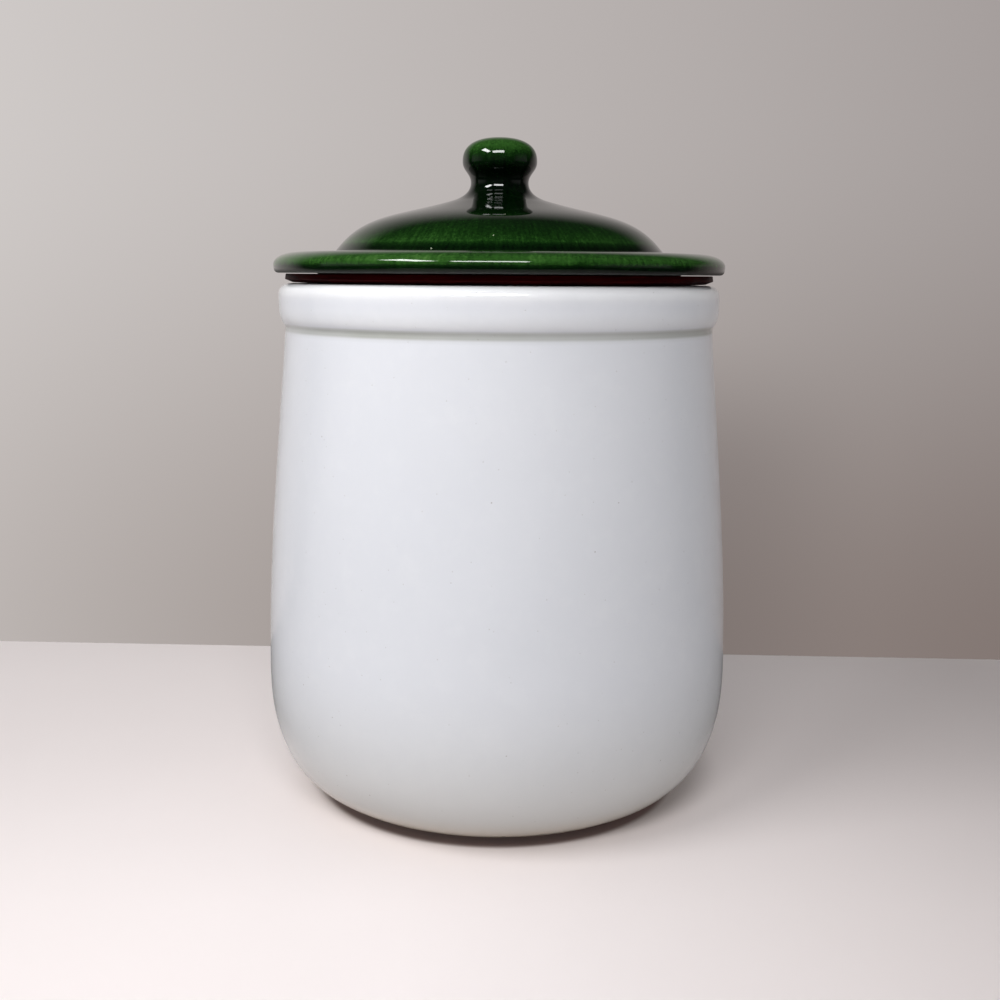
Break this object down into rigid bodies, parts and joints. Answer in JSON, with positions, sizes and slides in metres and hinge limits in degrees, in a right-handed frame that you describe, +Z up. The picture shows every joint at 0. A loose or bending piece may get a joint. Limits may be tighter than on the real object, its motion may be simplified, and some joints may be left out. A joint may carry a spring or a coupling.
{
  "type": "ceramic canister",
  "caption": "Round-bottomed glazed ceramic storage canister with a rolled rim band and a lift-off domed lid with a knob, sealed by a rubber ring.",
  "frame": {"origin": "on the table, at the centre of the foot ring", "axes": "+Z up along the axis that the jar, ring and lid were turned on; the piece looks the same from every side, so +X and +Y are free"},
  "size_m": [0.1904, 0.1904, 0.2657],
  "materials": {
    "white_glaze": "glossy cool white glaze with fine pinholes, thinner and warmer at the foot",
    "maroon_rubber": "dark red-brown moulded rubber, satin",
    "green_glaze": "deep glossy translucent green glaze, mottled, paler where it thins"
  },
  "bodies": {
    "jar": {"jar": "white_glaze"},
    "seal": {"seal_ring": "maroon_rubber"},
    "lid": {"lid": "green_glaze"}
  },
  "joints": [
    {"name": "lid_lift", "type": "slide", "parent": "jar", "child": "seal", "axis": [0, 0, 1], "range_m": [0, 0.08]},
    {"name": "lid_turn", "type": "hinge", "parent": "seal", "child": "lid", "pos_m": [0, 0, 0.2123], "axis": [0, 0, 1], "continuous": true}
  ]
}
